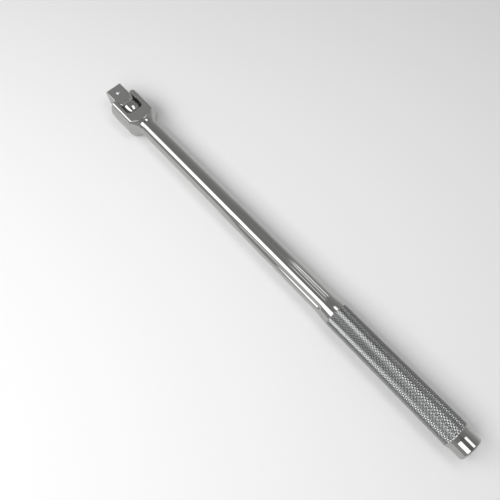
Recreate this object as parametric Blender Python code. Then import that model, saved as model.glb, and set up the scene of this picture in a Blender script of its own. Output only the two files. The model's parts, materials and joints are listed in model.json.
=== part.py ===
"""Breaker bar: a 3/4 inch drive flex handle, 20 inches long.

The handle lies along its own X axis with the hinge pin at x = 0, the pin along Y
and the flat faces of the fork square to Z.  The drive head points straight on from
the fork; its own axis is -Z before it is turned level.  The bar lies on the fork
and the end of the knurl, so the handle hangs from an empty that takes up their
difference in height and the drive head from a level one.
"""
import math

import bpy
import bmesh
from mathutils import Matrix, Vector

MM = 0.001
INCH = 25.4 * MM

# ---- overall -------------------------------------------------------------
TOTAL_LENGTH = 20 * INCH          # end of the square to the end of the grip, head straight
DRIVE_SQUARE = 0.75 * INCH        # across the flats of the tang
HEAD_LENGTH = 34.6 * MM           # pin to the end of the square
FIT_GAP = 0.3 * MM                # left between pieces that touch

# ---- fork ----------------------------------------------------------------
FORK_DIAMETER = 38.0 * MM         # round sides, across both ears
FORK_THICKNESS = 26.0 * MM        # between the two ground faces
EAR_REACH = 14.4 * MM             # pin to the tips of the ears
EAR_TIP_RADIUS = 2.9 * MM         # rounding of the ear tips, seen along the pin
EAR_CORNER = 3.8 * MM             # turned corner at the tips, seen square to the flats
FORK_EDGE = 0.9 * MM              # edge break, measured on the ground face
EDGE_SLOPE = math.radians(23)     # how far the edge break leans from the ground face
SLOT_FLOOR_GAP = 0.8 * MM         # knuckle to the floor of the slot
SLOT_CORNER = 4.8 * MM            # corner radius at the floor of the slot
BLANK_END = 36.5 * MM             # where the fork's blank stops, inside the neck
SHOULDER_START = 21.9 * MM        # where the turned shoulder leaves the round sides
SHOULDER_ANGLE = math.radians(45)
SHOULDER_FILLET = 6.7 * MM        # hollow radius between shoulder and neck

# ---- bar -----------------------------------------------------------------
NECK_INSIDE = 5.0 * MM            # where the bar starts, past the floor of the slot
NECK_DIAMETER = 19.6 * MM
TUBE_END = 160.0 * MM
TUBE_DIAMETER = 20.6 * MM
SHANK_START = 175.0 * MM
SHANK_DIAMETER = 21.5 * MM
SHANK_END = 303.0 * MM
SHANK_END_DIAMETER = 22.3 * MM
GRIP_START = 319.0 * MM
GRIP_DIAMETER = 25.0 * MM
GRIP_LENGTH = 137.0 * MM
GRIP_END_DIAMETER = 26.0 * MM
GRIP_TAPER = 4.3 * MM             # cone between the knurl and the smooth end
END_DIAMETER = 23.7 * MM
END_ROUNDING = 1.7 * MM
END_DOME = 1.5 * MM

# ---- six grooves of the shank -------------------------------------------
GROOVE_COUNT = 6
GROOVE_DEPTH = 1.0 * MM           # at the grip end
GROOVE_FORK_SHARE = 0.5           # how much of that depth they have at the fork end
GROOVE_RUN_IN = 30.0 * MM         # length over which they form at the fork end
GROOVE_HALF_WIDTH = 1.6 * MM
GROOVE_RUN_OUT = 5.8 * MM
GROOVE_TURN = math.radians(9.5)   # first groove, turned about the bar from the ground face

# ---- hinge ---------------------------------------------------------------
PIN_DIAMETER = 8.0 * MM
PIN_CHAMFER = 0.5 * MM
KNUCKLE_SHARE = 0.643             # knuckle radius as a share of the drive square
KNUCKLE_ROUNDING = 0.47           # rolled edge of its rim as a share of the drive square
NOTCH_RADIUS = 3.5 * MM           # hollows in the knuckle's rim for the friction ball
NOTCH_DEPTH = 0.25 * MM

# ---- tang ----------------------------------------------------------------
TANG_ROOT = 3.0 * MM              # where the tang starts inside the knuckle
TANG_ROOT_SHARE = 0.8             # its width there as a share of the square
TANG_SHOULDER = 7.0 * MM          # where it reaches the full width of the square
TANG_SQUARE = 10.0 * MM           # where its corners are fully formed
TANG_EDGE = 1.0 * MM              # corner radius of the square
TANG_POINT = 1.6 * MM             # chamfer at the end of the square

# ---- balls and springs ---------------------------------------------------
BALL_DIAMETER = 0.25 * INCH
FRICTION_BORE_DEPTH = 24.0 * MM
DETENT_DISTANCE = 11.5 * MM       # end of the tang to the detent's axis
DETENT_PROUD = 1.5 * MM           # how far the ball stands out of the square
DETENT_BORE_DEPTH = 14.0 * MM
STAKED_LIP = 1.3 * MM
SPRING_WIRE = 0.8 * MM
FRICTION_TURNS = 7
DETENT_TURNS = 4

# ---- facets --------------------------------------------------------------
BAR_SIDES = 60
ROUND_STEPS = 40
SMALL_STEPS = 24
ARC_STEPS = 5
COIL_STEPS = 12
SMOOTH_ANGLE = math.radians(32)

# ---- finishes ------------------------------------------------------------
CHROME = (0.78, 0.79, 0.80)
SATIN_CHROME = (0.60, 0.61, 0.62)
PIN_STEEL = (0.52, 0.53, 0.55)
SPRING_STEEL = (0.40, 0.41, 0.43)
BALL_STEEL = (0.70, 0.71, 0.72)


# ---- derived -------------------------------------------------------------
HALF_FORK = FORK_DIAMETER / 2
HALF_THICK = FORK_THICKNESS / 2
HALF_SQUARE = DRIVE_SQUARE / 2
SLOT_HALF_WIDTH = HALF_SQUARE + FIT_GAP
KNUCKLE_RADIUS = KNUCKLE_SHARE * DRIVE_SQUARE
KNUCKLE_EDGE = KNUCKLE_ROUNDING * DRIVE_SQUARE
SLOT_DEPTH = KNUCKLE_RADIUS + SLOT_FLOOR_GAP
NECK_START = SLOT_DEPTH + NECK_INSIDE
GUIDE_MARGIN = 5.0 * MM           # how far a guide solid reaches past what it shapes
BALL_RADIUS = BALL_DIAMETER / 2
BORE_RADIUS = BALL_RADIUS + FIT_GAP
BAR_END = TOTAL_LENGTH - HEAD_LENGTH
GRIP_END = GRIP_START + GRIP_LENGTH
SPRING_RADIUS = BALL_RADIUS - SPRING_WIRE
ALONG_X = Matrix.Rotation(math.radians(90), 4, "Y")
ALONG_Y = Matrix.Rotation(math.radians(-90), 4, "X")


def clear_scene():
    """Remove every object that the file starts with."""
    for old in list(bpy.data.objects):
        bpy.data.objects.remove(old, do_unlink=True)


def make_material(name, color, roughness):
    """A plain metal with the given colour and roughness."""
    material = bpy.data.materials.new(name)
    material.use_nodes = True
    shader = material.node_tree.nodes["Principled BSDF"]
    shader.inputs["Base Color"].default_value = (*color, 1.0)
    shader.inputs["Metallic"].default_value = 1.0
    shader.inputs["Roughness"].default_value = roughness
    return material


def make_empty(name, parent=None):
    """An empty that pieces hang from; it is not a piece itself."""
    empty = bpy.data.objects.new(name, None)
    bpy.context.collection.objects.link(empty)
    empty.parent = parent
    return empty


def add_object(name, bm, parent, material=None):
    """Turn a bmesh into a named object with faces out and round sides smooth."""
    bmesh.ops.recalc_face_normals(bm, faces=bm.faces[:])
    mesh = bpy.data.meshes.new(name)
    bm.to_mesh(mesh)
    bm.free()
    mesh.shade_smooth()
    mesh.set_sharp_from_angle(angle=SMOOTH_ANGLE)
    piece = bpy.data.objects.new(name, mesh)
    bpy.context.collection.objects.link(piece)
    piece.parent = parent
    if material:
        mesh.materials.append(material)
    return piece


def as_cutter(piece):
    """Mark a guide solid, which only shapes another piece."""
    piece.hide_render = True
    piece.display_type = "WIRE"
    return piece


def boolean(piece, operation, other):
    """Join, cut or keep what a guide solid covers."""
    modifier = piece.modifiers.new(operation.title() + " " + other.name, "BOOLEAN")
    modifier.operation = operation
    modifier.solver = "EXACT"
    modifier.object = other


def arc(centre, radius, start, stop, steps=ARC_STEPS):
    """Points (a, b) on an arc, angles in degrees from the first axis."""
    points = []
    for step in range(steps + 1):
        angle = math.radians(start + (stop - start) * step / steps)
        points.append((centre[0] + radius * math.cos(angle), centre[1] + radius * math.sin(angle)))
    return points


def loft(sections):
    """One closed skin through rings of points: a face is extruded from ring to ring."""
    bm = bmesh.new()
    cap = bm.faces.new([bm.verts.new(point) for point in sections[0]])
    start = cap.copy()
    for section in sections[1:]:
        result = bmesh.ops.extrude_discrete_faces(bm, faces=[cap])
        cap = result["faces"][0]
        for vert, point in zip(cap.verts, section):
            vert.co = point
    bmesh.ops.remove_doubles(bm, verts=bm.verts[:], dist=0.001 * MM)
    start.normal_flip()
    return bm


def turned(profile, steps=ROUND_STEPS):
    """A solid turned about Z from (radius, height) points that start and end at radius 0."""
    bm = bmesh.new()
    verts = [bm.verts.new((radius, 0, height)) for radius, height in profile]
    edges = [bm.edges.new(pair) for pair in zip(verts, verts[1:])]
    bmesh.ops.spin(
        bm, geom=verts + edges, axis=(0, 0, 1), cent=(0, 0, 0),
        steps=steps, angle=math.radians(360), use_merge=True,
    )
    bmesh.ops.remove_doubles(bm, verts=bm.verts[:], dist=0.001 * MM)
    return bm


def turned_object(name, profile, placing, parent, material=None, steps=ROUND_STEPS):
    """A turned solid, laid along another axis or moved by a matrix."""
    bm = turned(profile, steps)
    bmesh.ops.transform(bm, matrix=placing, verts=bm.verts[:])
    return add_object(name, bm, parent, material)


def plug(radius, low, high):
    """Profile of a plain round bar."""
    return [(0, low), (radius, low), (radius, high), (0, high)]


def smooth_step(value):
    """0 to 1 with a level start and end."""
    value = min(max(value, 0.0), 1.0)
    return value * value * (3 - 2 * value)


# ---- handle ---------------------------------------------------------------

def bar_radius(x):
    """Outer radius of the bar at a distance from the pin, grooves left out."""
    stations = [
        (NECK_START, NECK_DIAMETER, False),
        (TUBE_END, TUBE_DIAMETER, False),
        (SHANK_START, SHANK_DIAMETER, True),
        (SHANK_END, SHANK_END_DIAMETER, False),
        (GRIP_START, GRIP_DIAMETER, True),
        (GRIP_END, GRIP_END_DIAMETER, False),
        (GRIP_END + GRIP_TAPER, END_DIAMETER, False),
        (BAR_END, END_DIAMETER, False),
    ]
    for (x0, d0, _), (x1, d1, eased) in zip(stations, stations[1:]):
        if x <= x1:
            share = (x - x0) / (x1 - x0)
            if eased:
                share = smooth_step(share)
            return (d0 + (d1 - d0) * share) / 2
    return END_DIAMETER / 2


def groove_depth(x):
    """Depth of the grooves: they form behind the tube, deepen, and run out at the grip."""
    run_in = smooth_step((x - SHANK_START) / GROOVE_RUN_IN)
    along = min((x - SHANK_START) / (SHANK_END - SHANK_START), 1.0)
    grown = GROOVE_FORK_SHARE + (1 - GROOVE_FORK_SHARE) * along
    left = smooth_step((SHANK_END + GROOVE_RUN_OUT - x) / GROOVE_RUN_OUT)
    return GROOVE_DEPTH * run_in * grown * left


def bar_section(x):
    """One ring of the bar, with six round-bottomed grooves where they have depth."""
    radius = bar_radius(x)
    depth = groove_depth(x)
    ring = []
    for side in range(BAR_SIDES):
        turn = math.tau * side / BAR_SIDES
        from_groove = (turn + math.pi / GROOVE_COUNT) % (math.tau / GROOVE_COUNT)
        across = abs(from_groove - math.pi / GROOVE_COUNT) * radius
        share = max(0.0, 1 - across / (2 * GROOVE_HALF_WIDTH))
        here = radius - depth * smooth_step(share)
        angle = turn + GROOVE_TURN
        ring.append(Vector((x, here * math.sin(angle), here * math.cos(angle))))
    return ring


def end_section(x, radius):
    """One plain ring of the rounded end."""
    ring = []
    for side in range(BAR_SIDES):
        angle = math.tau * side / BAR_SIDES + GROOVE_TURN
        ring.append(Vector((x, radius * math.sin(angle), radius * math.cos(angle))))
    return ring


def spread(start, stop, count):
    """Evenly spaced places, the first included and the last left out."""
    return [start + (stop - start) * step / count for step in range(count)]


def bar_stations():
    """Where the bar has a ring: close together only where its radius bends."""
    places = [NECK_START, (NECK_START + TUBE_END) / 2]
    places += spread(TUBE_END, SHANK_START, 4)
    places += spread(SHANK_START, SHANK_START + GROOVE_RUN_IN, 4)
    places += spread(SHANK_START + GROOVE_RUN_IN, SHANK_END, 3)
    places += spread(SHANK_END, SHANK_END + GROOVE_RUN_OUT, 3)
    places += spread(SHANK_END + GROOVE_RUN_OUT, GRIP_START, 4)
    places += [GRIP_START, GRIP_END, GRIP_END + GRIP_TAPER]
    return places


def build_bar(parent, material):
    """The neck, tube, grooved shank, grip and end as one lofted solid."""
    rings = [bar_section(x) for x in bar_stations()]
    edge_x = BAR_END - END_DOME - END_ROUNDING
    inner = END_DIAMETER / 2 - END_ROUNDING
    for x, radius in arc((edge_x, inner), END_ROUNDING, 90, 15, 3):
        rings.append(end_section(x, radius))
    dome = (inner ** 2 + END_DOME ** 2) / (2 * END_DOME)
    for share in (2 / 3, 1 / 3):
        radius = inner * share
        rings.append(end_section(BAR_END - dome + math.sqrt(dome ** 2 - radius ** 2), radius))
    return add_object("handle", loft(rings), parent, material)


def fork_slab(parent):
    """The two ground faces and the round ear tips, as a prism along the pin."""
    tip = -EAR_REACH + EAR_TIP_RADIUS
    side = HALF_THICK - EAR_TIP_RADIUS
    outline = [(BLANK_END, HALF_THICK)]
    outline += arc((tip, side), EAR_TIP_RADIUS, 90, 180)
    outline += arc((tip, -side), EAR_TIP_RADIUS, 180, 270)
    outline += [(BLANK_END, -HALF_THICK)]
    reach = HALF_FORK + GUIDE_MARGIN
    rings = [[Vector((x, y, z)) for x, z in outline] for y in (-reach, reach)]
    return as_cutter(add_object("guide_fork_slab", loft(rings), parent))


def edge_break(parent):
    """A prism along the bar whose sloping faces break the long edges of the fork."""
    flat = math.sqrt(HALF_FORK ** 2 - HALF_THICK ** 2) - FORK_EDGE
    slope = math.tan(EDGE_SLOPE)
    high = HALF_THICK + GUIDE_MARGIN * slope
    wide = flat + HALF_THICK / slope
    outline = [
        (flat - GUIDE_MARGIN, high), (wide, 0), (flat - GUIDE_MARGIN, -high),
        (GUIDE_MARGIN - flat, -high), (-wide, 0), (GUIDE_MARGIN - flat, high),
    ]
    ends = (-EAR_REACH - GUIDE_MARGIN, BLANK_END + GUIDE_MARGIN)
    rings = [[Vector((x, y, z)) for y, z in outline] for x in ends]
    return as_cutter(add_object("guide_fork_edges", loft(rings), parent))


def fork_profile():
    """(radius, distance) of the turned blank: ear tips, round sides, shoulder and neck."""
    neck = bar_radius(BLANK_END)
    cone_end = SHOULDER_START + (HALF_FORK - neck) / math.tan(SHOULDER_ANGLE)
    tangent = SHOULDER_FILLET * math.tan(SHOULDER_ANGLE / 2)
    centre = (cone_end + tangent, neck + SHOULDER_FILLET)
    fillet = arc(centre, SHOULDER_FILLET, 270 - math.degrees(SHOULDER_ANGLE), 270)
    corner = arc((HALF_FORK - EAR_CORNER, -EAR_REACH + EAR_CORNER), EAR_CORNER, -90, 0)
    last = max(BLANK_END, centre[0]) + GUIDE_MARGIN
    profile = [(0, -EAR_REACH)] + corner + [(HALF_FORK, SHOULDER_START)]
    profile += [(radius, x) for x, radius in fillet]
    profile += [(bar_radius(last), last), (0, last)]
    return profile


def slot_outline():
    """Plan of the fork slot: open past the ear tips, round corners at its floor."""
    inner = SLOT_DEPTH - SLOT_CORNER
    side = SLOT_HALF_WIDTH - SLOT_CORNER
    far = -EAR_REACH - GUIDE_MARGIN
    outline = [(far, SLOT_HALF_WIDTH)]
    outline += arc((inner, side), SLOT_CORNER, 90, 0)
    outline += arc((inner, -side), SLOT_CORNER, 0, -90)
    outline += [(far, -SLOT_HALF_WIDTH)]
    return outline


def slot_cutter(parent):
    """The slot as an upright prism through both ground faces."""
    reach = HALF_THICK + GUIDE_MARGIN
    rings = [[Vector((x, y, z)) for x, y in slot_outline()] for z in (-reach, reach)]
    return as_cutter(add_object("guide_slot", loft(rings), parent))


def bore_profile():
    """A blind ball bore with a drilled point, from its mouth inwards."""
    return [
        (0, -GUIDE_MARGIN), (BORE_RADIUS, -GUIDE_MARGIN), (BORE_RADIUS, FRICTION_BORE_DEPTH),
        (0, FRICTION_BORE_DEPTH + BORE_RADIUS / 2),
    ]


def build_handle(frame, material):
    """Forged handle: turned blank ground flat, joined to the bar, then slotted and bored."""
    handle = build_bar(frame, material)
    blank = as_cutter(turned_object("guide_fork_blank", fork_profile(), ALONG_X, frame,
                                    steps=BAR_SIDES))
    boolean(blank, "INTERSECT", fork_slab(frame))
    boolean(blank, "INTERSECT", edge_break(frame))
    boolean(handle, "UNION", blank)
    boolean(handle, "DIFFERENCE", slot_cutter(frame))
    reach = HALF_FORK + GUIDE_MARGIN
    pin_bore = turned_object("guide_ear_bore", plug(PIN_DIAMETER / 2 + FIT_GAP, -reach, reach),
                             ALONG_Y, frame)
    boolean(handle, "DIFFERENCE", as_cutter(pin_bore))
    placing = Matrix.Translation((SLOT_DEPTH, 0, 0)) @ ALONG_X
    ball_bore = turned_object("guide_friction_bore", bore_profile(), placing, frame,
                              steps=SMALL_STEPS)
    boolean(handle, "DIFFERENCE", as_cutter(ball_bore))
    return handle


def build_pivot_pin(frame, material):
    """Plain pin through both ears, its chamfered ends just under their round sides."""
    radius = PIN_DIAMETER / 2
    half = math.sqrt(HALF_FORK ** 2 - radius ** 2) - FIT_GAP
    profile = [
        (0, -half), (radius - PIN_CHAMFER, -half), (radius, -half + PIN_CHAMFER),
        (radius, half - PIN_CHAMFER), (radius - PIN_CHAMFER, half), (0, half),
    ]
    return turned_object("pivot_pin", profile, ALONG_Y, frame, material)


# ---- drive head -------------------------------------------------------------

def knuckle_profile():
    """(radius, height) of the knuckle: a drum whose rim rolls over into its flats."""
    rim = KNUCKLE_RADIUS - KNUCKLE_EDGE
    side = HALF_SQUARE - KNUCKLE_EDGE
    profile = [(0, -HALF_SQUARE)]
    profile += arc((rim, -side), KNUCKLE_EDGE, -90, 0)
    profile += arc((rim, side), KNUCKLE_EDGE, 0, 90)
    profile += [(0, HALF_SQUARE)]
    return profile


def square_section(z, half, corner):
    """One ring of the tang: a square with round corners."""
    ring = []
    inner = half - corner
    for turn, (sx, sy) in enumerate(((1, 1), (-1, 1), (-1, -1), (1, -1))):
        start = 90 * turn
        for x, y in arc((sx * inner, sy * inner), corner, start, start + 90):
            ring.append(Vector((x, y, z)))
    return ring


def tang_sections():
    """Rings of the tang from inside the knuckle to its chamfered end."""
    root = HALF_SQUARE * TANG_ROOT_SHARE
    return [
        square_section(-TANG_ROOT, root, root * 2 / 3),
        square_section(-TANG_SHOULDER, HALF_SQUARE, HALF_SQUARE / 2),
        square_section(-TANG_SQUARE, HALF_SQUARE, TANG_EDGE),
        square_section(-HEAD_LENGTH + TANG_POINT, HALF_SQUARE, TANG_EDGE),
        square_section(-HEAD_LENGTH, HALF_SQUARE - TANG_POINT, TANG_EDGE / 2),
    ]


def detent_height():
    """Place of the detent ball's axis along the head, measured from the pin."""
    return -HEAD_LENGTH + DETENT_DISTANCE


def detent_profile():
    """The detent bore from its mouth inwards: a staked lip that keeps the ball in."""
    centre = BALL_RADIUS - DETENT_PROUD
    mouth = math.sqrt(BALL_RADIUS ** 2 - centre ** 2) + FIT_GAP
    return [
        (0, -GUIDE_MARGIN), (mouth, -GUIDE_MARGIN), (mouth, 0), (BORE_RADIUS, STAKED_LIP),
        (BORE_RADIUS, DETENT_BORE_DEPTH), (0, DETENT_BORE_DEPTH + BORE_RADIUS / 2),
    ]


def notch_cutter(frame, index, angle):
    """A shallow round hollow in the knuckle's rim at one of the head's set angles."""
    bm = bmesh.new()
    bmesh.ops.create_uvsphere(bm, u_segments=SMALL_STEPS, v_segments=SMALL_STEPS // 2,
                              radius=NOTCH_RADIUS)
    distance = KNUCKLE_RADIUS - NOTCH_DEPTH + NOTCH_RADIUS
    turn = Matrix.Rotation(angle, 4, "Y")
    bmesh.ops.transform(bm, matrix=turn @ Matrix.Translation((distance, 0, 0)) @ ALONG_X,
                        verts=bm.verts[:])
    return as_cutter(add_object("guide_notch_%d" % index, bm, frame))


def build_drive_head(frame, material):
    """Knuckle and square tang in one piece, bored for the pin and the detent."""
    head = turned_object("drive_head", knuckle_profile(), ALONG_Y, frame, material)
    tang = as_cutter(add_object("guide_tang", loft(tang_sections()), frame))
    boolean(head, "UNION", tang)
    reach = HALF_SQUARE + GUIDE_MARGIN
    pin_bore = turned_object("guide_knuckle_bore", plug(PIN_DIAMETER / 2 + FIT_GAP, -reach, reach),
                             ALONG_Y, frame)
    boolean(head, "DIFFERENCE", as_cutter(pin_bore))
    placing = Matrix.Translation((-HALF_SQUARE, 0, detent_height())) @ ALONG_X
    detent_bore = turned_object("guide_detent_bore", detent_profile(), placing, frame,
                                steps=SMALL_STEPS)
    boolean(head, "DIFFERENCE", as_cutter(detent_bore))
    for index, angle in enumerate((0, -math.pi / 2, math.pi)):
        boolean(head, "DIFFERENCE", notch_cutter(frame, index, angle))
    return head


# ---- balls and springs -------------------------------------------------------

def build_ball(name, centre, frame, material):
    """A hardened ball; its origin is at its centre."""
    bm = bmesh.new()
    bmesh.ops.create_uvsphere(bm, u_segments=SMALL_STEPS, v_segments=SMALL_STEPS // 2,
                              radius=BALL_RADIUS)
    ball = add_object(name, bm, frame, material)
    ball.location = centre
    return ball


def build_spring(name, start, length, turns, frame, material):
    """A coil spring along X from the start point, closed flat at both ends."""
    curve = bpy.data.curves.new(name, "CURVE")
    curve.dimensions = "3D"
    curve.bevel_depth = SPRING_WIRE / 2
    curve.bevel_resolution = 1
    curve.use_fill_caps = True
    count = turns * COIL_STEPS
    spline = curve.splines.new("POLY")
    spline.points.add(count)
    run = length - SPRING_WIRE
    for step, point in enumerate(spline.points):
        angle = math.tau * step / COIL_STEPS
        x = SPRING_WIRE / 2 + run * step / count
        point.co = (x, SPRING_RADIUS * math.sin(angle), SPRING_RADIUS * math.cos(angle), 1)
    curve.materials.append(material)
    spring = bpy.data.objects.new(name, curve)
    bpy.context.collection.objects.link(spring)
    spring.parent = frame
    spring.location = start
    return spring


def spring_room(ball_x, bore_end):
    """Start and length of a spring between a ball and the bottom of its bore."""
    touch = math.sqrt((BALL_RADIUS + SPRING_WIRE / 2 + FIT_GAP) ** 2 - SPRING_RADIUS ** 2)
    start = ball_x + touch - SPRING_WIRE / 2
    return start, bore_end - FIT_GAP - start


def build_friction_set(frame, ball_material, spring_material):
    """Ball and spring in the floor of the slot; the ball bears on the knuckle."""
    ball_x = KNUCKLE_RADIUS - NOTCH_DEPTH + FIT_GAP + BALL_RADIUS
    build_ball("friction_ball", (ball_x, 0, 0), frame, ball_material)
    start, length = spring_room(ball_x, SLOT_DEPTH + FRICTION_BORE_DEPTH)
    build_spring("friction_spring", (start, 0, 0), length, FRICTION_TURNS, frame, spring_material)


def build_detent_set(frame, ball_material, spring_material):
    """Ball and spring in the tang; the ball stands proud and holds a socket."""
    ball_x = -HALF_SQUARE - DETENT_PROUD + BALL_RADIUS
    height = detent_height()
    build_ball("detent_ball", (ball_x, 0, height), frame, ball_material)
    start, length = spring_room(ball_x, DETENT_BORE_DEPTH - HALF_SQUARE)
    build_spring("detent_spring", (start, 0, height), length, DETENT_TURNS, frame, spring_material)


# ---- posture ------------------------------------------------------------------

def handle_slope():
    """Angle at which the fork and the end of the knurl touch the same ground."""
    lift = (GRIP_END_DIAMETER - FORK_THICKNESS) / 2
    return -math.asin(lift / (GRIP_END + EAR_REACH))


def world_box():
    """Lowest and highest corner of all the pieces, guides left out."""
    bpy.context.view_layer.update()
    depsgraph = bpy.context.evaluated_depsgraph_get()
    corners = []
    for piece in bpy.context.scene.objects:
        if piece.type not in {"MESH", "CURVE"} or piece.hide_render:
            continue
        evaluated = piece.evaluated_get(depsgraph)
        corners += [evaluated.matrix_world @ vert.co for vert in evaluated.to_mesh().vertices]
        evaluated.to_mesh_clear()
    low = Vector([min(corner[axis] for corner in corners) for axis in range(3)])
    high = Vector([max(corner[axis] for corner in corners) for axis in range(3)])
    return low, high


def set_down(stand):
    """Move the whole bar so that it rests on z = 0 with its box centred on the origin."""
    low, high = world_box()
    stand.location += Vector((-(low.x + high.x) / 2, -(low.y + high.y) / 2, -low.z))


def main():
    clear_scene()
    chrome = make_material("polished_chrome", CHROME, 0.12)
    satin = make_material("satin_chrome", SATIN_CHROME, 0.3)
    pin_steel = make_material("ground_pin_steel", PIN_STEEL, 0.3)
    ball_steel = make_material("ball_steel", BALL_STEEL, 0.1)
    spring_steel = make_material("spring_steel", SPRING_STEEL, 0.4)

    stand = make_empty("stand")
    handle_frame = make_empty("handle_frame", stand)
    handle_frame.rotation_euler = (0, handle_slope(), 0)
    head_frame = make_empty("head_frame", stand)
    head_frame.rotation_euler = (0, math.radians(90), 0)

    build_handle(handle_frame, chrome)
    build_pivot_pin(handle_frame, pin_steel)
    build_friction_set(handle_frame, ball_steel, spring_steel)
    build_drive_head(head_frame, satin)
    build_detent_set(head_frame, ball_steel, spring_steel)
    set_down(stand)


main()
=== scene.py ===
"""Looks of the breaker bar: a chromed flex handle, its drive head, hinge pin, balls and springs.

Every piece is measured from the hinge pin: x runs along the bar towards the grip, y along
the pin and z up, square to the ground faces of the fork.
"""
import json
import math

import bpy
import numpy as np
from mathutils import Euler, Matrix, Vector


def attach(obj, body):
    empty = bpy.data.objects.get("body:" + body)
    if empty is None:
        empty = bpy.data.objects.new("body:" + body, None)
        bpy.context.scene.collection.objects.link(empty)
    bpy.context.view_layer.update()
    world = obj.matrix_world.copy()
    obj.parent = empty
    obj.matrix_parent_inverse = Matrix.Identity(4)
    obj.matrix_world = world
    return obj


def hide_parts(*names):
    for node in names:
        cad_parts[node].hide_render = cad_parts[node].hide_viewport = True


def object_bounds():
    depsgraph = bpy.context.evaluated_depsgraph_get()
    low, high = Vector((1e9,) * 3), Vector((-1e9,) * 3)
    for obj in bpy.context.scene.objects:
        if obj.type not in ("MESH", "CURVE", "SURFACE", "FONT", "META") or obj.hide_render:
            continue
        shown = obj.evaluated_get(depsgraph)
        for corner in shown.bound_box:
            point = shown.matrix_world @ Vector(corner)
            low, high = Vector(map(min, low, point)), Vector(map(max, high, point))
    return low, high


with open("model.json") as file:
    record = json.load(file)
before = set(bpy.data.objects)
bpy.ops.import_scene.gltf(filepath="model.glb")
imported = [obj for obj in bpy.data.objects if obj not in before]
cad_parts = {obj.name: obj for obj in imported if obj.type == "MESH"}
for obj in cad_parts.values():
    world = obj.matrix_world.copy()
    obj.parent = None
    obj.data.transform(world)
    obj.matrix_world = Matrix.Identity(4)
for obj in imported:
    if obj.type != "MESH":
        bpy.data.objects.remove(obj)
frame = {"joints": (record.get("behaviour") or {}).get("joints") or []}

bl_info = {
    "name": "Breaker bar",
    "version": (1, 0, 0),
    "blender": (4, 5, 0),
    "location": "3D View > Sidebar > Breaker bar",
    "description": "Builds the pieces, finishes and studio of a breaker bar",
    "category": "Object",
}

CAD_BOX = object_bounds()
PIN = np.array([j["pos_m"] for j in frame["joints"] if j["name"] == "flex_hinge"][0])
TURN = 2 * math.pi
GROOVES = 6
KNURL_STARTS = 34          # valleys of either hand round the grip
KNURL_PARTS = 4            # grid steps from a valley to the next crest
KNURL_LAND = 0.1           # share of the pitch that stays flat on the crests
SHOULDER_BAND = 0.001      # the rows are fine within this of the shoulder's edge
END_LIP = 0.0002           # spacing of the rows that keep the cone's two edges crisp
LEAST_COSINE = 0.001       # keeps a ray along a ground face from reaching for ever
FACING = 0.99              # share of a normal along one axis that makes a ground face
SQUARE_FACING = 0.999      # the same for the faces of the square
SQUARE_OUTSIDE = 0.99      # share of its half width that they lie out from the pin, on any axis
SLOT_REACH = 1.6           # the slot's tool starts this many times the ears' reach out
TANG_ROOT_SHARE = 0.8      # width of the tang's hidden root over that of the square
FRICTION_COILS = 7
DETENT_COILS = 4
POLE = 0.03                # angle left open at a ball's poles, in radians, under the fans
SHARP_EDGE = math.radians(38)
LONG_BOX_TILT = math.radians(-41.5)
GRIP_BOX_TILT = math.radians(20)
ROOM_LOW, ROOM_HIGH = 0.48, 0.32              # strength of the room low down and overhead
PATCH_TOWARDS = (0.34, -0.10, 0.93)           # middle of the darker patch
PATCH_SHADE = 0.62                            # strength left at the middle of the patch
CAMERA_LENS = 37.79                           # mm, on a sensor 36 mm wide
CAMERA_PLACE = (0.3941, -0.1338, 0.4596)
CAMERA_TURN = (24.57, 3.25, 48.98)            # degrees


# ---- properties ---------------------------------------------------------------

def length(name, description, millimetres):
    """A length property whose default is given in millimetres."""
    return bpy.props.FloatProperty(name=name, description=description,
                                   default=millimetres / 1000, precision=5, unit="LENGTH")


def angle(name, description, degrees):
    """An angle property whose default is given in degrees."""
    return bpy.props.FloatProperty(name=name, description=description,
                                   default=math.radians(degrees), unit="ROTATION")


def tint(name, description, code):
    """A colour given as an sRGB hex code."""
    return bpy.props.StringProperty(name=name, description=description, default=code)


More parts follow.
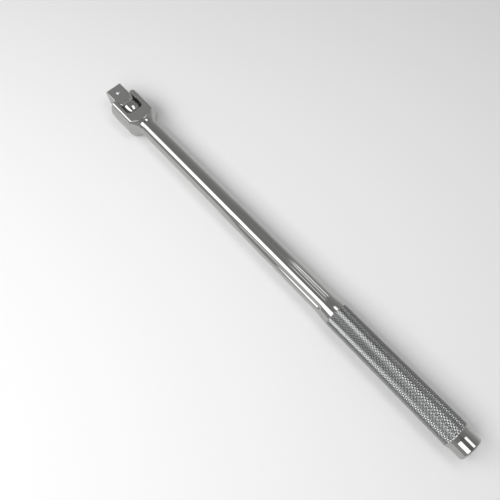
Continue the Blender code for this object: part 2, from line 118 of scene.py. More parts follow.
class BreakerBarSizes(bpy.types.PropertyGroup):
    """Sizes of the bar, measured from the hinge pin."""
    fork_diameter: length("Fork diameter", "Round sides, across both ears", 38.0)
    fork_thickness: length("Fork thickness", "Between the two ground faces", 26.0)
    ear_reach: length("Ear reach", "Pin to the tips of the ears", 14.4)
    ear_tip_radius: length("Ear tip radius", "Rounding of the tips seen along the pin", 2.9)
    ear_corner: length("Ear corner", "Turned corner at the tips", 3.8)
    fork_edge: length("Edge break", "Its width on the ground face", 0.9)
    edge_slope: angle("Edge slope", "How far the edge break leans from the ground face", 23)
    soft_edge: length("Soft edge", "Softness left on edges by polishing", 0.12)
    shoulder_start: length("Shoulder start", "Pin to the turned shoulder", 21.9)
    shoulder_fillet: length("Shoulder fillet", "Hollow radius onto the neck", 6.7)
    slot_half_width: length("Slot half width", "Middle of the slot to its wall", 9.825)
    slot_depth: length("Slot depth", "Pin to the floor of the slot", 13.049)
    slot_corner: length("Slot corner", "Corner radius at the floor of the slot", 4.8)
    slot_break: length("Slot edge", "Edge break round the mouth of the slot", 0.25)
    friction_bore_depth: length("Friction bore", "Depth of the ball's bore", 24.0)
    neck_join: length("Neck join", "Where the fork piece meets the shank piece", 42.0)
    neck_diameter: length("Neck diameter", "Behind the fork", 19.6)
    neck_start: length("Neck start", "Where the taper of the tube starts", 18.0)
    tube_end: length("Tube end", "Where the plain tube ends", 160.0)
    tube_diameter: length("Tube diameter", "At the end of the plain tube", 20.6)
    shank_start: length("Shank start", "Where the grooves start to form", 175.0)
    shank_diameter: length("Shank diameter", "At the start of the grooves", 21.5)
    shank_end: length("Shank end", "Where the grooves have full depth", 303.0)
    shank_end_diameter: length("Shank end diameter", "At the grip end of the grooves", 22.3)
    groove_depth: length("Groove depth", "At the grip end", 1.0)
    groove_run_in: length("Groove run-in", "Length over which they form at the fork end", 30.0)
    groove_half_width: length("Groove half width", "Middle of a groove to its edge", 1.6)
    groove_run_out: length("Groove run-out", "Length over which the grooves end", 5.8)
    groove_turn: angle("Groove turn", "First groove, turned from the ground face", 9.5)
    grip_start: length("Grip start", "Where the knurl starts", 319.0)
    grip_end: length("Grip end", "Where the knurl ends", 456.0)
    grip_diameter: length("Grip diameter", "Over the knurl at its start", 25.0)
    grip_end_diameter: length("Grip end diameter", "Over the knurl at its end", 26.0)
    knurl_pitch: length("Knurl pitch", "Along the bar, diamond to diamond", 3.41)
    knurl_depth: length("Knurl depth", "Crest to valley", 0.5)
    grip_taper: length("Grip taper", "Length of the cone after the knurl", 4.3)
    end_diameter: length("End diameter", "Smooth end of the bar", 23.7)
    end_rounding: length("End rounding", "Edge radius of the end", 1.7)
    end_dome: length("End dome", "Height of the domed end face", 1.5)
    bar_end: length("Bar end", "Pin to the end of the bar", 473.4)
    pin_diameter: length("Pin diameter", "Hinge pin", 8.0)
    pin_gap: length("Pin gap", "Hairline round the hinge pin", 0.06)
    drive_square: length("Drive square", "Across the flats of the tang", 19.05)
    head_length: length("Head length", "Pin to the end of the square", 34.6)
    knuckle_radius: length("Knuckle radius", "Pin to the rim of the knuckle", 12.249)
    knuckle_edge: length("Knuckle edge", "Rounding between its rim and its flats", 8.953)
    notch_radius: length("Notch radius", "Hollow in the knuckle's rim", 3.5)
    notch_depth: length("Notch depth", "Hollow in the knuckle's rim", 0.25)
    tang_root: length("Tang root", "Where the tang starts inside the knuckle", 3.0)
    tang_shoulder: length("Tang shoulder", "Where it has the full width of the square", 7.0)
    tang_square: length("Tang square", "Where its corners are fully formed", 10.0)
    tang_edge: length("Tang edge", "Corner radius of the square", 1.0)
    tang_point: length("Tang point", "Chamfer at the end of the square", 1.6)
    ball_diameter: length("Ball diameter", "Friction ball and detent ball", 6.35)
    ball_gap: length("Ball gap", "Ball to its bore or to the knuckle", 0.3)
    detent_distance: length("Detent distance", "End of the square to the detent", 11.5)
    detent_proud: length("Detent ball", "How far it stands out of the square", 1.5)
    detent_bore_depth: length("Detent bore", "Depth of the detent's bore", 14.0)
    staked_lip: length("Staked lip", "Depth of the lip that keeps the ball in", 1.3)
    spring_wire: length("Spring wire", "Diameter of the wire", 0.8)


class BreakerBarFinishes(bpy.types.PropertyGroup):
    """Colours of the finishes and of the studio."""
    chrome: tint("Chrome plate", "Polished chrome", "#B1B1AF")
    ground: tint("Ground chrome", "Plated over the ground faces", "#B7B7B5")
    # painted shade: a darker colour mixed into the knurl's valleys by their depth
    valley: tint("Knurl valley", "Painted shade in the knurl's valleys", "#77797D")
    pin: tint("Pin steel", "Ground steel of the hinge pin", "#A9ABAE")
    ball: tint("Ball steel", "Polished hardened steel", "#C6C8CB")
    spring: tint("Spring steel", "Oiled spring wire", "#7E7C78")
    floor: tint("Floor", "Matt pale paper", "#F7F7F7")
    light: tint("Softbox", "Neutral studio light", "#FFFFFF")


def sizes():
    """The sizes of the scene."""
    return bpy.context.scene.breaker_bar_sizes


def finishes():
    """The colours of the scene."""
    return bpy.context.scene.breaker_bar_finishes


# ---- shapes -------------------------------------------------------------------

def eased(share):
    """0 to 1 with a level start and end."""
    share = np.clip(share, 0.0, 1.0)
    return share * share * (3 - 2 * share)


def softest(soft, *surfaces):
    """The least of several radii, blended over a small length where they cross."""
    stack = np.stack(np.broadcast_arrays(*surfaces))
    least = stack.min(axis=0)
    return least - soft * np.log(np.exp(-(stack - least) / soft).sum(axis=0))


def bar_radius(x):
    """Radius of the bar at x: straight tapers, with eased steps before shank and grip."""
    s = sizes()
    places = [s.neck_start, s.tube_end, s.shank_start, s.shank_end, s.grip_start, s.grip_end]
    widths = [s.neck_diameter, s.tube_diameter, s.shank_diameter, s.shank_end_diameter,
              s.grip_diameter, s.grip_end_diameter]
    radius = np.interp(x, places, widths) / 2
    steps = ((s.tube_end, s.shank_start, s.tube_diameter, s.shank_diameter),
             (s.shank_end, s.grip_start, s.shank_end_diameter, s.grip_diameter))
    for x0, x1, d0, d1 in steps:
        inside = (x > x0) & (x < x1)
        radius = np.where(inside, (d0 + (d1 - d0) * eased((x - x0) / (x1 - x0))) / 2, radius)
    return radius


def spans(*stretches):
    """Stations through (start, stop, count) stretches, each stop the next one's start."""
    parts = [np.linspace(a, b, count, endpoint=False) for a, b, count in stretches]
    return np.concatenate(parts + [np.array([stretches[-1][1]])])


def around(columns):
    """Evenly spaced angles of one turn."""
    return np.arange(columns) * TURN / columns


def along_x(x, radius, phi):
    """Rings about the bar's axis: phi is measured from +z towards +y."""
    return np.stack(np.broadcast_arrays(x[:, None], radius * np.sin(phi), radius * np.cos(phi)), -1)


def lathe(places, radii, axis, centre=(0, 0, 0), columns=160):
    """Rings of a turned surface about an axis through the centre."""
    phi = around(columns)
    one = np.outer(radii, np.cos(phi))
    two = np.outer(radii, np.sin(phi))
    level = np.broadcast_to(np.asarray(places, float)[:, None], one.shape)
    order = {"x": (level, one, two), "y": (two, level, one), "z": (one, two, level)}[axis]
    return np.stack(order, -1) + np.array(centre)


def arc(centre, radius, start, stop, count):
    """Points on an arc as two arrays, angles in degrees from the first axis."""
    turn = np.radians(np.linspace(start, stop, count))
    return centre[0] + radius * np.cos(turn), centre[1] + radius * np.sin(turn)


def grid_faces(rows, columns, diagonal=None):
    """Faces between rings: quads, or two triangles each where a diagonal is named."""
    row = np.arange(rows - 1)[:, None] * columns
    here = np.arange(columns)[None, :]
    after = (here + 1) % columns
    a, b, c, d = row + here, row + after, row + columns + after, row + columns + here
    if diagonal is None:
        return np.stack((a, b, c, d), -1).reshape(-1, 4)
    first = np.where(diagonal[..., None], np.stack((a, b, c), -1), np.stack((a, b, d), -1))
    second = np.where(diagonal[..., None], np.stack((a, c, d), -1), np.stack((b, c, d), -1))
    return np.concatenate((first.reshape(-1, 3), second.reshape(-1, 3)))


def make_mesh(name, points, faces, caps):
    """A mesh from whole arrays of points (in metres from the pin), faces and cap triangles."""
    mesh = bpy.data.meshes.new(name)
    corners = np.concatenate((faces.ravel(), caps.ravel())).astype(np.int32)
    counts = np.concatenate((np.full(len(faces), faces.shape[1]), np.full(len(caps), 3)))
    starts = np.concatenate(([0], np.cumsum(counts)[:-1])).astype(np.int32)
    mesh.vertices.add(len(points))
    mesh.vertices.foreach_set("co", (points + PIN).astype(np.float32).ravel())
    mesh.loops.add(len(corners))
    mesh.loops.foreach_set("vertex_index", corners)
    mesh.polygons.add(len(counts))
    mesh.polygons.foreach_set("loop_start", starts)
    mesh.update(calc_edges=True)
    mesh.validate()
    return mesh


def skin(name, rings, diagonal=None, flat=False):
    """A closed piece through rings of points: a tube of faces and a fan at either end.

    The faces are turned round if their signed volume, the sum of a . (b x c) over the
    triangles, says that they face inwards.
    """
    rows, columns = rings.shape[:2]
    middles = np.stack((rings[0].mean(axis=0), rings[-1].mean(axis=0)))
    points = np.concatenate((rings.reshape(-1, 3), middles))
    faces = grid_faces(rows, columns, diagonal)
    here = np.arange(columns)
    after = (here + 1) % columns
    low, high = rows * columns, rows * columns + 1
    last = (rows - 1) * columns
    caps = np.concatenate((np.stack((after, here, np.full(columns, low)), -1),
                           np.stack((last + here, last + after, np.full(columns, high)), -1)))
    triangles = faces
    if faces.shape[1] == 4:
        triangles = np.concatenate((faces[:, :3], faces[:, [0, 2, 3]]))
    corners = points[np.concatenate((triangles, caps))]
    if (corners[:, 0] * np.cross(corners[:, 1], corners[:, 2])).sum() < 0:
        faces, caps = faces[:, ::-1], caps[:, ::-1]
    mesh = make_mesh(name, points, faces, caps)
    piece = bpy.data.objects.new(name, mesh)
    bpy.context.scene.collection.objects.link(piece)
    return shade(piece, flat)


def shade(piece, flat=False):
    """Smooth shading that breaks at sharp edges, or flat facets."""
    if flat:
        piece.data.shade_flat()
    else:
        piece.data.shade_smooth()
        piece.data.set_sharp_from_angle(angle=SHARP_EDGE)
    return piece


def carve(piece, *steps):
    """Join or cut with other solids, exactly; what shaped the piece is then removed."""
    for operation, tool in steps:
        modifier = piece.modifiers.new(tool.name, "BOOLEAN")
        modifier.operation = operation
        modifier.solver = "EXACT"
        modifier.object = tool
    bpy.context.view_layer.update()
    evaluated = piece.evaluated_get(bpy.context.evaluated_depsgraph_get())
    shaped = bpy.data.meshes.new_from_object(evaluated)
    piece.modifiers.clear()
    piece.data = shaped
    for _, tool in steps:
        bpy.data.objects.remove(tool, do_unlink=True)
    return shade(piece)


def finish_piece(piece, body, slot, nodes, *materials):
    """Material, body and the CAD nodes that the piece stands for; the finish slot argument is not
    used.
    """
    piece.data.materials.clear()
    for material in materials:
        piece.data.materials.append(material)
    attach(piece, body)
    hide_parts(*nodes)


def mark_faces(piece, chosen):
    """Give the chosen faces the piece's second material."""
    piece.data.polygons.foreach_set("material_index", chosen.astype(np.int32))


def face_arrays(piece):
    """Centres (metres from the pin) and normals of a piece's faces."""
    count = len(piece.data.polygons)
    centre, normal = np.zeros(count * 3), np.zeros(count * 3)
    piece.data.polygons.foreach_get("center", centre)
    piece.data.polygons.foreach_get("normal", normal)
    return centre.reshape(-1, 3) - PIN, normal.reshape(-1, 3)


# ---- materials ------------------------------------------------------------------

def linear(code):
    """Linear colour of an sRGB hex code."""
    values = np.array([int(code[i:i + 2], 16) / 255 for i in (1, 3, 5)])
    low, high = values / 12.92, ((values + 0.055) / 1.055) ** 2.4
    return (*np.where(values <= 0.04045, low, high).tolist(), 1.0)


def add_node(tree, kind, values=None, **settings):
    """A node with its settings, and its inputs given as values or as sockets to link."""
    made = tree.nodes.new(kind)
    for key, value in settings.items():
        setattr(made, key, value)
    for key, value in (values or {}).items():
        if isinstance(value, bpy.types.NodeSocket):
            tree.links.new(value, made.inputs[key])
        else:
            made.inputs[key].default_value = value
    return made


def metal(name, code, roughness, grain=0.0, grain_size=0.002, stretch=(1, 1, 1), bump=0.0,
          shade_code=None, shade_attribute=None):
    """A bare metal: the roughness wanders by the grain, a fine bump follows the same noise, and
    painted shade can be mixed into the colour by a named attribute.
    """
    found = bpy.data.materials.get(name)
    if found:
        return found
    material = bpy.data.materials.new(name)
    material.use_nodes = True
    tree = material.node_tree
    shader = tree.nodes["Principled BSDF"]
    shader.inputs["Metallic"].default_value = 1.0
    shader.inputs["Base Color"].default_value = linear(code)
    shader.inputs["Roughness"].default_value = roughness
    where = add_node(tree, "ShaderNodeTexCoord")
    scaled = add_node(tree, "ShaderNodeVectorMath", {0: where.outputs["Object"], 1: stretch},
                      operation="MULTIPLY")
    noise = add_node(tree, "ShaderNodeTexNoise", {"Vector": scaled.outputs[0],
                                                   "Scale": 1 / grain_size, "Detail": 3.0})
    if grain:
        wander = add_node(tree, "ShaderNodeMapRange", {
            "Value": noise.outputs["Fac"], "From Min": 0.3, "From Max": 0.7,
            "To Min": roughness - grain, "To Max": roughness + grain})
        tree.links.new(wander.outputs["Result"], shader.inputs["Roughness"])
    if bump:
        relief = add_node(tree, "ShaderNodeBump", {
            "Height": noise.outputs["Fac"], "Distance": bump, "Strength": 1.0})
        tree.links.new(relief.outputs["Normal"], shader.inputs["Normal"])
    # painted shade: the base colour turns towards the shade colour as the named attribute rises
    if shade_attribute:
        depth = add_node(tree, "ShaderNodeAttribute", attribute_name=shade_attribute)
        mixed = add_node(tree, "ShaderNodeMix", {
            "Factor": depth.outputs["Fac"], 6: linear(code), 7: linear(shade_code)},
            data_type="RGBA")
        tree.links.new(mixed.outputs[2], shader.inputs["Base Color"])
    return material


def chrome_plate():
    """Polished chrome plate on steel: almost a mirror, with a trace of polishing haze."""
    return metal("polished chrome plate", finishes().chrome, 0.08, grain=0.02, grain_size=0.012)


def ground_chrome():
    """Chrome plate over a belt-ground face: satin, its grain along the bar."""
    return metal("ground chrome plate", finishes().ground, 0.36, grain=0.05, grain_size=0.0006,
                 stretch=(0.15, 1, 1), bump=0.000004)


def knurled_chrome():
    """Chrome plate over a rolled knurl: bright crests, and valleys darkened with painted shade."""
    f = finishes()
    return metal("knurled chrome plate", f.chrome, 0.2, grain=0.04, grain_size=0.003,
                 shade_code=f.valley, shade_attribute="valley")


def pin_steel():
    """Centreless-ground steel with fine turned lines."""
    return metal("ground pin steel", finishes().pin, 0.24, grain=0.05, grain_size=0.0008)


def ball_steel():
    """Hardened steel ball, lapped bright."""
    return metal("polished ball steel", finishes().ball, 0.06, grain=0.01, grain_size=0.003)


def spring_wire():
    """Drawn spring wire with a film of oil."""
    return metal("oiled spring steel", finishes().spring, 0.34, grain=0.06, grain_size=0.001)


# ---- fork -----------------------------------------------------------------------

def fork_angles():
    """Angles of the columns round the fork, with one on every long edge.

    Along one quarter: the ground face, the edge break, then the round side.
    """
    s = sizes()
    radius, half = s.fork_diameter / 2, s.fork_thickness / 2
    flat = math.sqrt(radius ** 2 - half ** 2) - s.fork_edge
    reach = flat * math.sin(s.edge_slope) + half * math.cos(s.edge_slope)
    first = math.atan2(flat, half)
    second = s.edge_slope + math.acos(reach / radius)
    quarter = spans((0, first, 44), (first, second, 14), (second, math.pi / 2, 62))
    half_turn = np.concatenate((quarter, math.pi - quarter[-2::-1]))
    return np.concatenate((half_turn, TURN - half_turn[-2:0:-1])), reach


def fork_blank():
    """Turned blank cut by planes, as the reach of a ray from the axis at each (x, angle).

    The reach is the least of: the turned profile (rounded tip, round side, 45 degree
    shoulder, hollow fillet, neck); the ground face, half the thickness over |cos|, which
    rounds off towards the tips; and the edge break, its distance over the cosine of the
    angle from its normal.
    """
    s = sizes()
    radius, half = s.fork_diameter / 2, s.fork_thickness / 2
    tip = -s.ear_reach
    corner = tip + s.ear_corner
    bow = corner - s.ear_corner * np.cos(np.linspace(0, math.pi / 2, 30, endpoint=False))
    before, behind = s.shoulder_start - SHOULDER_BAND, s.shoulder_start + SHOULDER_BAND
    x = np.concatenate((bow, spans((corner, before, 26), (before, behind, 12),
                                   (behind, s.neck_join, 58))))
    phi, reach = fork_angles()
    neck = bar_radius(x)
    into = np.clip((corner - x) / s.ear_corner, 0, 1)
    turned = radius - s.ear_corner * (1 - np.sqrt(1 - into ** 2))
    cone = radius - (x - s.shoulder_start)
    middle = s.shoulder_start + (radius - bar_radius(s.neck_join))
    middle = middle + s.shoulder_fillet * math.tan(math.pi / 8)
    inside = np.clip((middle - x) / s.shoulder_fillet, 0, math.sin(math.pi / 4))
    hollow = neck + s.shoulder_fillet * (1 - np.sqrt(1 - inside ** 2))
    shoulder = np.where(x < middle - s.shoulder_fillet * math.sin(math.pi / 4), cone, hollow)
    profile = softest(2 * s.soft_edge, turned, np.maximum(shoulder, neck))
    nose = np.clip((tip + s.ear_tip_radius - x) / s.ear_tip_radius, 0, 1)
    face = half - s.ear_tip_radius * (1 - np.sqrt(1 - nose ** 2))
    side, up = np.abs(np.sin(phi)), np.abs(np.cos(phi))
    face = face[:, None] / np.maximum(up, LEAST_COSINE)
    lean = side * math.sin(s.edge_slope) + up * math.cos(s.edge_slope)
    return x, softest(s.soft_edge / 2, profile[:, None], face, reach / lean), phi


def slot_outline(grow):
    """Plan of the slot, open past the tips, grown outwards by a distance."""
    s = sizes()
    side, floor, round_ = s.slot_half_width + grow, s.slot_depth + grow, s.slot_corner + grow
    x1, y1 = arc((floor - round_, side - round_), round_, 90, 0, 16)
    x2, y2 = arc((floor - round_, round_ - side), round_, 0, -90, 16)
    far = -SLOT_REACH * s.ear_reach - grow
    x = np.concatenate(([far], x1, x2, [far]))
    y = np.concatenate(([side], y1, y2, [-side]))
    return np.column_stack((x, y))


def slot_tool():
    """The slot as a prism through both ground faces, flared where it leaves them."""
    s = sizes()
    half, out = s.fork_thickness / 2, s.fork_thickness / 4
    levels = (-half - out, -half + s.slot_break, half - s.slot_break, half + out)
    grows = (out + s.slot_break, 0, 0, out + s.slot_break)
    plans = np.array([slot_outline(grow) for grow in grows])
    heights = np.broadcast_to(np.array(levels)[:, None, None], plans.shape[:2] + (1,))
    return skin("slot tool", np.concatenate((plans, heights), axis=2))


def bore_tool(name, radius, start, stop, axis, centre=(0, 0, 0)):
    """A plain drill through part of a piece."""
    return skin(name, lathe([start, stop], [radius, radius], axis, centre, 96))


class BREAKERBAR_OT_fork(bpy.types.Operator):
    """Build the forked end of the handle: ears, slot, shoulder and neck"""
    bl_idname = "breaker_bar.fork"
    bl_label = "Fork"

    def execute(self, context):
        s = sizes()
        x, radius, phi = fork_blank()
        piece = skin("fork", along_x(x, radius, phi))
        wide = s.fork_diameter
        depth = s.slot_depth + s.friction_bore_depth
        pin_tool = bore_tool("pin tool", s.pin_diameter / 2 + s.pin_gap, -wide, wide, "y")
        ball_tool = bore_tool("ball tool", s.ball_diameter / 2 + s.ball_gap, 0, depth, "x")
        carve(piece, ("DIFFERENCE", slot_tool()), ("DIFFERENCE", pin_tool),
              ("DIFFERENCE", ball_tool))
        centre, normal = face_arrays(piece)
        half = s.fork_thickness / 2
        ground = (np.abs(normal[:, 2]) > FACING) & (np.abs(centre[:, 2]) > half - s.soft_edge)
        slot = np.abs(centre[:, 1]) < s.slot_half_width + s.slot_break
        slot &= (centre[:, 0] < s.slot_depth + s.slot_break) & (np.abs(centre[:, 2]) < half)
        finish_piece(piece, "handle", "polished_chrome", ["handle"],
                     chrome_plate(), ground_chrome())
        mark_faces(piece, ground | slot)
        return {"FINISHED"}


# ---- shank, grip and end ------------------------------------------------------------

class BREAKERBAR_OT_shank(bpy.types.Operator):
    """Build the tube and the grooved shank"""
    bl_idname = "breaker_bar.shank"
    bl_label = "Shank"

    def execute(self, context):
        """Radius of the bar less six grooves, each an eased hollow across the turn."""
        s = sizes()
        formed = s.shank_start + s.groove_run_in
        x = spans((s.neck_join, s.tube_end, 20), (s.tube_end, s.shank_start, 12),
                  (s.shank_start, formed, 24), (formed, s.shank_end, 28),
                  (s.shank_end, s.shank_end + s.groove_run_out, 24),
                  (s.shank_end + s.groove_run_out, s.grip_start, 16))
        phi = around(600)
        radius = bar_radius(x)[:, None]
        along = np.clip((x - s.shank_start) / (s.shank_end - s.shank_start), 0, 1)
        grown = eased((x - s.shank_start) / s.groove_run_in) * (1 + along) / 2
        left = eased((s.shank_end + s.groove_run_out - x) / s.groove_run_out)
        spacing = TURN / GROOVES
        across = np.abs((phi - s.groove_turn + spacing / 2) % spacing - spacing / 2) * radius
        hollow = eased(1 - across / (2 * s.groove_half_width))
        depth = s.groove_depth * (grown * left)[:, None] * hollow
        piece = skin("shank", along_x(x, radius - depth, phi))
        finish_piece(piece, "handle", "polished_chrome", ["handle"], chrome_plate())
        return {"FINISHED"}


class BREAKERBAR_OT_grip(bpy.types.Operator):
    """Build the diamond-knurled grip"""
    bl_idname = "breaker_bar.grip"
    bl_label = "Grip"

    def execute(self, context):
        """Two sets of V grooves: the valleys lie where turns * starts +- x / pitch is whole.

        The depth is that of the nearer valley of either set, so that diamonds are left,
        and every square of the grid is split along the valley that shapes it.
        """
        s = sizes()
        columns = KNURL_STARTS * 2 * KNURL_PARTS
        rows = round((s.grip_end - s.grip_start) / s.knurl_pitch * 2 * KNURL_PARTS) + 1
        x = np.linspace(s.grip_start, s.grip_end, rows)
        phi = around(columns)
        run = (x - s.grip_start) / s.knurl_pitch

        def valley(value):
            return 1 - 2 * np.abs(value - np.round(value))

        one = valley(KNURL_STARTS * phi / TURN + run[:, None])
        two = valley(KNURL_STARTS * phi / TURN - run[:, None])
        share = np.clip((np.maximum(one, two) - KNURL_LAND) / (1 - KNURL_LAND), 0, 1)
        edge = eased((x - s.grip_start) / (s.knurl_pitch / 4))
        edge = edge * eased((s.grip_end - x) / (s.knurl_pitch / 4))
        share = share * edge[:, None]
        radius = bar_radius(x)[:, None] - s.knurl_depth * share
        after = np.roll(np.arange(columns), -1)
        middle_one = one[:-1] + one[1:] + one[:-1, after] + one[1:, after]
        middle_two = two[:-1] + two[1:] + two[:-1, after] + two[1:, after]
        piece = skin("grip", along_x(x, radius, phi), diagonal=middle_two > middle_one, flat=True)
        # painted shade: the square of each point's depth into a valley, stored for the material to
        # darken the valleys
        shade_of = np.concatenate((share.ravel() ** 2, [0.0, 0.0])).astype(np.float32)
        piece.data.attributes.new("valley", "FLOAT", "POINT").data.foreach_set("value", shade_of)
        finish_piece(piece, "handle", "polished_chrome", ["handle"], knurled_chrome())
        return {"FINISHED"}


class BREAKERBAR_OT_end(bpy.types.Operator):
    """Build the smooth, domed end of the bar"""
    bl_idname = "breaker_bar.end"
    bl_label = "End"

    def execute(self, context):
        """A turned profile: cone, cylinder, rounded edge and shallow dome."""
        s = sizes()
        edge_x = s.bar_end - s.end_dome - s.end_rounding
        inner = s.end_diameter / 2 - s.end_rounding
        r1, x1 = arc((inner, edge_x), s.end_rounding, 0, 75, 16)
        dome = (inner ** 2 + s.end_dome ** 2) / (2 * s.end_dome)
        r2 = inner * np.linspace(1, 0.02, 24)
        x2 = s.bar_end - dome + np.sqrt(dome ** 2 - r2 ** 2)
        keep = r2 < r1[-1]
        cone_end = s.grip_end + s.grip_taper
        start = [s.grip_end, s.grip_end + END_LIP, cone_end - END_LIP,
                 cone_end + 2 * END_LIP, cone_end + 5 * END_LIP]
        wide, slim = s.grip_end_diameter / 2, s.end_diameter / 2
        step = END_LIP * (wide - slim) / s.grip_taper
        r0 = [wide, wide - step, slim + step, slim, slim]
        x = np.concatenate((start, x1, x2[keep]))
        radius = np.concatenate((r0, r1, r2[keep]))
        piece = skin("end", lathe(x, radius, "x", columns=240))
        finish_piece(piece, "handle", "polished_chrome", ["handle"], chrome_plate())
        return {"FINISHED"}


# ---- drive head ---------------------------------------------------------------------

def knuckle():
    """Turned about the pin: a drum whose rim rolls over into its two flats."""
    s = sizes()
    side = s.drive_square / 2
    rim, level = s.knuckle_radius - s.knuckle_edge, side - s.knuckle_edge
    r1, y1 = arc((rim, -level), s.knuckle_edge, -90, 0, 40)
    r2, y2 = arc((rim, level), s.knuckle_edge, 0, 90, 40)
    places, radii = np.concatenate((y1, y2)), np.concatenate((r1, r2))
    return skin("drive_head_look", lathe(places, radii, "y", columns=240))


def square_ring(x, half, corner):
    """One ring of the tang at x: a square with round corners."""
    inner = half - corner
    sides = ((1, 1, 0), (-1, 1, 90), (-1, -1, 180), (1, -1, 270))
    parts = [arc((sy * inner, sz * inner), corner, turn, turn + 90, 12) for sy, sz, turn in sides]
    y = np.concatenate([part[0] for part in parts])
    z = np.concatenate([part[1] for part in parts])
    return np.column_stack((np.full(y.size, x), y, z))


def tang():
    """The square tang from inside the knuckle to its chamfered end."""
    s = sizes()
    half, last = s.drive_square / 2, -s.head_length
    root = TANG_ROOT_SHARE * half
    rings = [square_ring(-s.tang_root, root, root * 2 / 3),
             square_ring(-s.tang_shoulder, half, half / 2),
             square_ring(-s.tang_square, half, s.tang_edge),
             square_ring(last + s.tang_point, half, s.tang_edge),
             square_ring(last, half - s.tang_point, s.tang_edge / 2)]
    return skin("tang tool", np.array(rings))


class BREAKERBAR_OT_drive_head(bpy.types.Operator):
    """Build the drive head: knuckle, square tang, bores and set notches"""
    bl_idname = "breaker_bar.drive_head"
    bl_label = "Drive head"

    def execute(self, context):
        s = sizes()
        half = s.drive_square / 2
        across = s.knuckle_radius - s.notch_depth + s.notch_radius
        detent_x = s.detent_distance - s.head_length
        ball_z = half + s.detent_proud - s.ball_diameter / 2
        mouth = math.sqrt((s.ball_diameter / 2) ** 2 - (half - ball_z) ** 2) + s.pin_gap
        bore = s.ball_diameter / 2 + s.ball_gap
        profile_z = [2 * half, half, half - s.staked_lip, half - s.detent_bore_depth]
        detent = skin("detent tool", lathe(profile_z, [mouth, mouth, bore, bore], "z",
                                           (detent_x, 0, 0), 96))
        steps = [("UNION", tang()),
                 ("DIFFERENCE", bore_tool("knuckle bore", s.pin_diameter / 2 + s.pin_gap,
                                          -2 * half, 2 * half, "y")),
                 ("DIFFERENCE", detent)]
        for place in ((across, 0, 0), (0, 0, across), (0, 0, -across)):
            steps.append(("DIFFERENCE", ball("notch tool", s.notch_radius, place, 48)))
        piece = carve(knuckle(), *steps)
        centre, normal = face_arrays(piece)
        finish_piece(piece, "drive_head", "satin_chrome", ["drive_head"],
                     chrome_plate(), ground_chrome())
        square = np.abs(normal).max(axis=1) > SQUARE_FACING
        square &= centre[:, 0] < -s.knuckle_edge / 2
        mark_faces(piece, square & (np.abs(centre).max(axis=1) > SQUARE_OUTSIDE * half))
        return {"FINISHED"}


# ---- pin, balls and springs ------------------------------------------------------------

def ball(name, radius, centre, columns=96):
    """A sphere: rings from pole to pole about the upright axis."""
    turn = np.linspace(POLE, math.pi - POLE, columns // 2)
    return skin(name, lathe(radius * np.cos(turn), radius * np.sin(turn), "z", centre, columns))


class BREAKERBAR_OT_pin(bpy.types.Operator):
    """Build the hinge pin, ground flush with the round sides of the fork"""
    bl_idname = "breaker_bar.pin"
    bl_label = "Hinge pin"

    def execute(self, context):
        """Each end follows the round side: y is the root of fork radius squared less z squared."""
        s = sizes()
        side = s.fork_diameter / 2 - s.pin_gap / 2
        radius = s.pin_diameter / 2
        phi = around(96)
        shares = np.linspace(0.04, 1, 14)
        across = np.outer(shares * radius, np.cos(phi))
        up = np.outer(shares * radius, np.sin(phi))
        face = np.sqrt(side ** 2 - up ** 2)
        one = np.stack((across, -face, up), -1)
        two = np.stack((across, face, up), -1)[::-1]
        piece = skin("pivot_pin_look", np.concatenate((one, two)))
        finish_piece(piece, "handle", "pin_steel", ["pivot_pin"], pin_steel())
        return {"FINISHED"}


class BREAKERBAR_OT_balls(bpy.types.Operator):
    """Build the friction ball and the detent ball"""
    bl_idname = "breaker_bar.balls"
    bl_label = "Balls"

    def execute(self, context):
        s = sizes()
        radius = s.ball_diameter / 2
        centre = s.knuckle_radius - s.notch_depth + s.ball_gap + radius
        friction = ball("friction_ball_look", radius, (centre, 0, 0))
        finish_piece(friction, "friction_ball", "ball_steel", ["friction_ball"], ball_steel())
        height = s.drive_square / 2 + s.detent_proud - radius
        detent = ball("detent_ball_look", radius, (s.detent_distance - s.head_length, 0, height))
        finish_piece(detent, "detent_ball", "ball_steel", ["detent_ball"], ball_steel())
        return {"FINISHED"}


def coil(name, start, stop, turns, axis, centre):
    """A round wire along a helix: its ring lies across the helix at every step."""
    s = sizes()
    wire = s.spring_wire / 2
    radius = s.ball_diameter / 2 - s.spring_wire
    turn = np.linspace(0, TURN * turns, turns * 40 + 1)[:, None]
    sign = math.copysign(1, stop - start)
    run = (stop - start - sign * 2 * wire) * turn / (TURN * turns) + start + sign * wire
    rise = (stop - start) / (TURN * turns)
    norm = math.hypot(radius, rise)
    phi = around(14)
    reach = radius + wire * np.cos(phi)
    lean = wire * np.sin(phi)
    a = reach * np.cos(turn) + lean * rise / norm * np.sin(turn)
    b = reach * np.sin(turn) - lean * rise / norm * np.cos(turn)
    level = run + lean * radius / norm
    order = {"x": (level, b, a), "z": (a, b, level)}[axis]
    return skin(name, np.stack(order, -1) + np.array(centre))


class BREAKERBAR_OT_springs(bpy.types.Operator):
    """Build the two coil springs behind the balls"""
    bl_idname = "breaker_bar.springs"
    bl_label = "Springs"

    def execute(self, context):
        s = sizes()
        radius, wire, gap = s.ball_diameter / 2, s.spring_wire, s.ball_gap
        mean = radius - wire
        touch = math.sqrt((radius + wire / 2 + gap) ** 2 - mean ** 2) - wire / 2
        centre = s.knuckle_radius - s.notch_depth + gap + radius
        one = coil("friction_spring_look", centre + touch,
                   s.slot_depth + s.friction_bore_depth - gap, FRICTION_COILS, "x", (0, 0, 0))
        finish_piece(one, "handle", "spring_steel", ["friction_spring"], spring_wire())
        half = s.drive_square / 2
        height = half + s.detent_proud - radius
        two = coil("detent_spring_look", height - touch, half - s.detent_bore_depth + gap,
                   DETENT_COILS, "z", (s.detent_distance - s.head_length, 0, 0))
        finish_piece(two, "drive_head", "spring_steel", ["detent_spring"], spring_wire())
        return {"FINISHED"}


# ---- studio -------------------------------------------------------------------------------

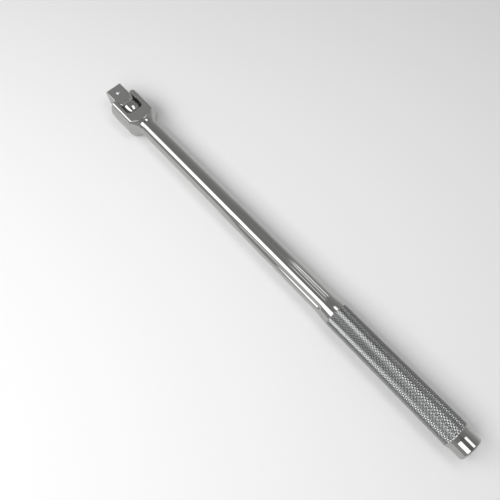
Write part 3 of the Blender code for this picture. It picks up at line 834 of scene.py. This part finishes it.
def softbox(name, tilt, distance, start, stop, width, radiance):
    """A long area light over the bar, tilted about the bar's axis from straight above."""
    out = (distance * math.sin(tilt), distance * math.cos(tilt))
    centre = Vector(PIN) + Vector(((start + stop) / 2, *out))
    light = bpy.data.lights.new(name, "AREA")
    light.shape = "RECTANGLE"
    light.size, light.size_y = stop - start, width
    light.color = linear(finishes().light)[:3]
    light.energy = radiance * math.pi * light.size * light.size_y
    lamp = bpy.data.objects.new(name, light)
    bpy.context.scene.collection.objects.link(lamp)
    lamp.location = centre
    lamp.rotation_euler = Euler((-tilt, 0, 0))


def floor_material():
    """Matt white paper."""
    material = bpy.data.materials.new("matt paper")
    material.use_nodes = True
    shader = material.node_tree.nodes["Principled BSDF"]
    shader.inputs["Base Color"].default_value = linear(finishes().floor)
    shader.inputs["Roughness"].default_value = 0.9
    return material


def make_world():
    """A grey room: brighter towards the horizon, with a darker patch above the bar."""
    world = bpy.data.worlds.new("studio")
    world.use_nodes = True
    tree = world.node_tree
    background = tree.nodes["Background"]
    where = add_node(tree, "ShaderNodeTexCoord")
    split = add_node(tree, "ShaderNodeSeparateXYZ", {0: where.outputs["Generated"]})
    height = add_node(tree, "ShaderNodeMapRange", {
        "Value": split.outputs["Z"], "From Min": 0.1, "From Max": 0.75,
        "To Min": ROOM_LOW, "To Max": ROOM_HIGH}, interpolation_type="SMOOTHSTEP")
    toward = add_node(tree, "ShaderNodeVectorMath", {
        0: where.outputs["Generated"], 1: PATCH_TOWARDS}, operation="DOT_PRODUCT")
    patch = add_node(tree, "ShaderNodeMapRange", {
        "Value": toward.outputs["Value"], "From Min": 0.93, "From Max": 0.99,
        "To Min": 1.0, "To Max": PATCH_SHADE}, interpolation_type="SMOOTHSTEP")
    product = add_node(tree, "ShaderNodeMath", {
        0: height.outputs["Result"], 1: patch.outputs["Result"]}, operation="MULTIPLY")
    background.inputs["Color"].default_value = (1.0, 1.0, 1.0, 1.0)
    tree.links.new(product.outputs[0], background.inputs["Strength"])
    bpy.context.scene.world = world


def make_camera():
    """A viewpoint above and beside the grip half of the bar, with the fork at the upper left."""
    camera = bpy.data.cameras.new("camera")
    camera.lens = CAMERA_LENS
    camera.sensor_width = 36
    camera.dof.use_dof = False
    camera.clip_start = 0.01
    view = bpy.data.objects.new("camera", camera)
    bpy.context.scene.collection.objects.link(view)
    view.location = Vector(PIN) + Vector(CAMERA_PLACE)
    view.rotation_euler = Euler([math.radians(turn) for turn in CAMERA_TURN])
    bpy.context.scene.camera = view


class BREAKERBAR_OT_stage(bpy.types.Operator):
    """Build the floor, the soft lights, the room and the camera"""
    bl_idname = "breaker_bar.stage"
    bl_label = "Stage"

    def execute(self, context):
        low = CAD_BOX[0][2]
        corners = np.array([[-3, -3, low], [3, -3, low], [3, 3, low], [-3, 3, low]], float)
        mesh = bpy.data.meshes.new("floor")
        mesh.from_pydata(corners.tolist(), [], [(0, 1, 2, 3)])
        mesh.materials.append(floor_material())
        floor = bpy.data.objects.new("floor", mesh)
        context.scene.collection.objects.link(floor)
        softbox("long softbox", LONG_BOX_TILT, distance=0.8, start=-0.8, stop=0.75,
                width=0.47, radiance=2.6)
        softbox("grip softbox", GRIP_BOX_TILT, distance=0.8, start=0.03, stop=0.65,
                width=0.28, radiance=2.2)
        make_world()
        make_camera()
        context.scene.view_settings.view_transform = "Standard"
        return {"FINISHED"}


# ---- panel and registration ------------------------------------------------------------------

BUILDERS = (
    BREAKERBAR_OT_fork, BREAKERBAR_OT_shank, BREAKERBAR_OT_grip, BREAKERBAR_OT_end,
    BREAKERBAR_OT_drive_head, BREAKERBAR_OT_pin, BREAKERBAR_OT_balls, BREAKERBAR_OT_springs,
    BREAKERBAR_OT_stage,
)


class BREAKERBAR_PT_panel(bpy.types.Panel):
    """Lists what the add-on builds"""
    bl_idname = "BREAKERBAR_PT_panel"
    bl_label = "Breaker bar"
    bl_space_type = "VIEW_3D"
    bl_region_type = "UI"
    bl_category = "Breaker bar"

    def draw(self, context):
        for builder in BUILDERS:
            self.layout.operator(builder.bl_idname)


CLASSES = (BreakerBarSizes, BreakerBarFinishes) + BUILDERS + (BREAKERBAR_PT_panel,)


def register():
    for entry in CLASSES:
        bpy.utils.register_class(entry)
    bpy.types.Scene.breaker_bar_sizes = bpy.props.PointerProperty(type=BreakerBarSizes)
    bpy.types.Scene.breaker_bar_finishes = bpy.props.PointerProperty(type=BreakerBarFinishes)


def unregister():
    del bpy.types.Scene.breaker_bar_finishes
    del bpy.types.Scene.breaker_bar_sizes
    for entry in reversed(CLASSES):
        bpy.utils.unregister_class(entry)


def main():
    """Build every piece and the stage."""
    register()
    bpy.ops.breaker_bar.fork()
    bpy.ops.breaker_bar.shank()
    bpy.ops.breaker_bar.grip()
    bpy.ops.breaker_bar.end()
    bpy.ops.breaker_bar.drive_head()
    bpy.ops.breaker_bar.pin()
    bpy.ops.breaker_bar.balls()
    bpy.ops.breaker_bar.springs()
    bpy.ops.breaker_bar.stage()


if __name__ == "__main__":
    main()
